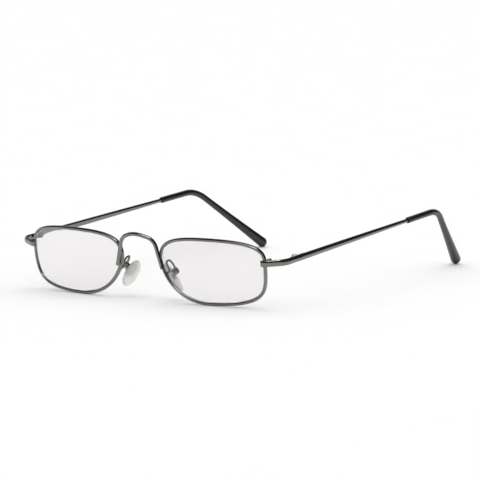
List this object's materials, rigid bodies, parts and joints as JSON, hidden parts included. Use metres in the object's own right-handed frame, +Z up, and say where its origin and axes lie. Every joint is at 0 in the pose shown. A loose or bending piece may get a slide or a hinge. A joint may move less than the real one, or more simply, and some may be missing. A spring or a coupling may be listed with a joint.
{
  "type": "reading glasses",
  "caption": "Metal half-eye reading glasses with clear lenses, rocking nose pads on wire arms, folding temples and black slipped-on ear tips.",
  "frame": {"origin": "middle of the bounding box, on the plane that the rims and the ear tips stand on", "axes": "+X to the wearer's left, +Y from the front back to the ear tips, +Z up"},
  "size_m": [0.1236, 0.1544, 0.0266],
  "materials": {
    "frame": "polished dark grey plating",
    "screw": "polished plating",
    "lens": "clear, very slightly tinted",
    "ear_tip": "satin black",
    "pad": "clear, slightly cloudy"
  },
  "bodies": {
    "front": {"rim_left": "frame", "rim_right": "frame", "lens_left": "lens", "lens_right": "lens", "bridge": "frame", "closing_block_upper_left": "frame", "closing_block_upper_right": "frame", "closing_block_lower_left": "frame", "closing_block_lower_right": "frame", "rim_screw_left": "screw", "rim_screw_right": "screw", "end_piece_left": "frame", "end_piece_right": "frame", "front_hinge_left": "frame", "front_hinge_right": "frame", "hinge_screw_left": "screw", "hinge_screw_right": "screw", "pad_arm_left": "frame", "pad_arm_right": "frame", "pad_cup_left": "frame", "pad_cup_right": "frame", "pad_screw_left": "screw", "pad_screw_right": "screw"},
    "temple_left": {"temple_hinge_left": "frame", "temple_left": "frame", "temple_tip_left": "ear_tip"},
    "temple_right": {"temple_hinge_right": "frame", "temple_right": "frame", "temple_tip_right": "ear_tip"},
    "pad_left": {"pad_insert_left": "screw", "nose_pad_left": "pad"},
    "pad_right": {"pad_insert_right": "screw", "nose_pad_right": "pad"}
  },
  "joints": [
    {"name": "temple_left_fold", "type": "hinge", "parent": "front", "child": "temple_left", "pos_m": [0.05881, -0.05529, 0.01883], "axis": [-0.0025, -0.0687, 0.9976], "range_deg": [0, 90]},
    {"name": "temple_right_fold", "type": "hinge", "parent": "front", "child": "temple_right", "pos_m": [-0.05881, -0.05529, 0.01883], "axis": [-0.0025, 0.0687, -0.9976], "range_deg": [0, 86]},
    {"name": "pad_left_rock", "type": "hinge", "parent": "front", "child": "pad_left", "pos_m": [0.0111, -0.06546, 0.01091], "axis": [0.2195, -0.9755, -0.0129], "range_deg": [-10, 10]},
    {"name": "pad_right_rock", "type": "hinge", "parent": "front", "child": "pad_right", "pos_m": [-0.0111, -0.06546, 0.01091], "axis": [0.2195, 0.9755, 0.0129], "range_deg": [-10, 10]}
  ]
}
